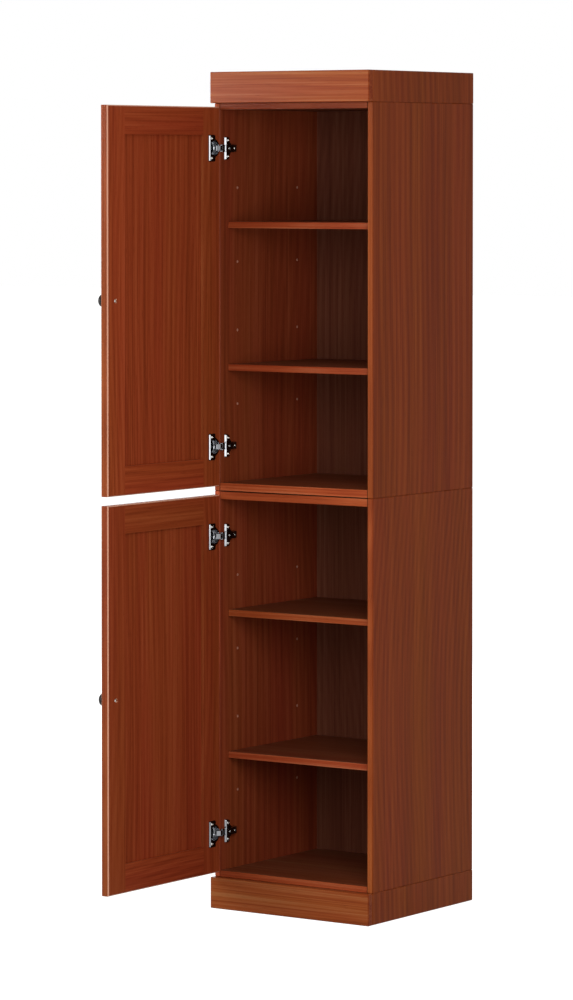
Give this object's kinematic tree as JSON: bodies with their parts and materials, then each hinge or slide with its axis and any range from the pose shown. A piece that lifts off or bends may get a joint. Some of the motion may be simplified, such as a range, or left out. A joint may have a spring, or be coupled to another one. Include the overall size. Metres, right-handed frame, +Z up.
{
  "type": "pantry cabinet",
  "caption": "Tall narrow cherry-finish pantry of two stacked units with a base box and a cap box, adjustable shelves and left-hung shaker doors on concealed hinges.",
  "frame": {"origin": "middle of the base front board's underside, on the floor", "axes": "+Z up, +X to the right along the front, +Y back from the front towards the wall"},
  "size_m": [0.4405, 0.805, 1.829],
  "materials": {
    "cherry_front": "satin reddish cherry stain on boards with horizontal grain",
    "cherry_side": "satin darker cherry stain with vertical grain",
    "cherry_door": "satin red-brown cherry stain, grain along each member",
    "back_panel": "dark cherry-faced hardboard",
    "nickel": "bright nickel plate",
    "black_knob": "dark bronze, nearly black, satin",
    "steel": "bright zinc plated screw"
  },
  "bodies": {
    "cabinet": {"base_back": "cherry_side", "base_front": "cherry_front", "base_left_side": "cherry_side", "base_right_side": "cherry_side", "cap_back": "cherry_side", "cap_front": "cherry_front", "cap_left_side": "cherry_side", "cap_right_side": "cherry_side", "cap_top": "cherry_side", "lower_back": "back_panel", "lower_bottom": "cherry_front", "lower_hinge_high_arm": "nickel", "lower_hinge_high_plate": "nickel", "lower_hinge_low_arm": "nickel", "lower_hinge_low_plate": "nickel", "lower_left_side": "cherry_side", "lower_right_side": "cherry_side", "lower_shelf_high": "cherry_front", "lower_shelf_low": "cherry_front", "lower_top": "cherry_front", "upper_back": "back_panel", "upper_bottom": "cherry_front", "upper_hinge_high_arm": "nickel", "upper_hinge_high_plate": "nickel", "upper_hinge_low_arm": "nickel", "upper_hinge_low_plate": "nickel", "upper_left_side": "cherry_side", "upper_right_side": "cherry_side", "upper_shelf_high": "cherry_front", "upper_shelf_low": "cherry_front", "upper_top": "cherry_front"},
    "upper_door": {"upper_door_bottom_rail": "cherry_door", "upper_door_hinge_stile": "cherry_door", "upper_door_knob": "black_knob", "upper_door_knob_screw": "steel", "upper_door_latch_stile": "cherry_door", "upper_door_panel": "cherry_door", "upper_door_top_rail": "cherry_door", "upper_hinge_high_cup": "nickel", "upper_hinge_low_cup": "nickel"},
    "lower_door": {"lower_door_bottom_rail": "cherry_door", "lower_door_hinge_stile": "cherry_door", "lower_door_knob": "black_knob", "lower_door_knob_screw": "steel", "lower_door_latch_stile": "cherry_door", "lower_door_panel": "cherry_door", "lower_door_top_rail": "cherry_door", "lower_hinge_high_cup": "nickel", "lower_hinge_low_cup": "nickel"},
    "upper_high_link": {"upper_hinge_high_link": "nickel"},
    "upper_low_link": {"upper_hinge_low_link": "nickel"},
    "lower_high_link": {"lower_hinge_high_link": "nickel"},
    "lower_low_link": {"lower_hinge_low_link": "nickel"}
  },
  "joints": [
    {"name": "upper_door_swing", "type": "hinge", "parent": "cabinet", "child": "upper_door", "pos_m": [-0.19775, -0.00025, 1.33775], "axis": [0, 0, 1], "range_deg": [-20, 90]},
    {"name": "upper_high_link_fold", "type": "hinge", "parent": "cabinet", "child": "upper_high_link", "pos_m": [-0.1852, 0.0055, 1.663], "axis": [0, 0, 1], "range_deg": [-24, 104.5]},
    {"name": "upper_low_link_fold", "type": "hinge", "parent": "cabinet", "child": "upper_low_link", "pos_m": [-0.1852, 0.0055, 1.0125], "axis": [0, 0, 1], "range_deg": [-24, 104.5]},
    {"name": "lower_door_swing", "type": "hinge", "parent": "cabinet", "child": "lower_door", "pos_m": [-0.19775, -0.00025, 0.49125], "axis": [0, 0, 1], "range_deg": [-20, 90]},
    {"name": "lower_high_link_fold", "type": "hinge", "parent": "cabinet", "child": "lower_high_link", "pos_m": [-0.1852, 0.0055, 0.8165], "axis": [0, 0, 1], "range_deg": [-24, 104.5]},
    {"name": "lower_low_link_fold", "type": "hinge", "parent": "cabinet", "child": "lower_low_link", "pos_m": [-0.1852, 0.0055, 0.166], "axis": [0, 0, 1], "range_deg": [-24, 104.5]}
  ],
  "couplings": [
    {"joint": "upper_high_link_fold", "follows": "upper_door_swing", "ratio": 1.15},
    {"joint": "upper_low_link_fold", "follows": "upper_door_swing", "ratio": 1.15},
    {"joint": "lower_high_link_fold", "follows": "lower_door_swing", "ratio": 1.15},
    {"joint": "lower_low_link_fold", "follows": "lower_door_swing", "ratio": 1.15}
  ]
}
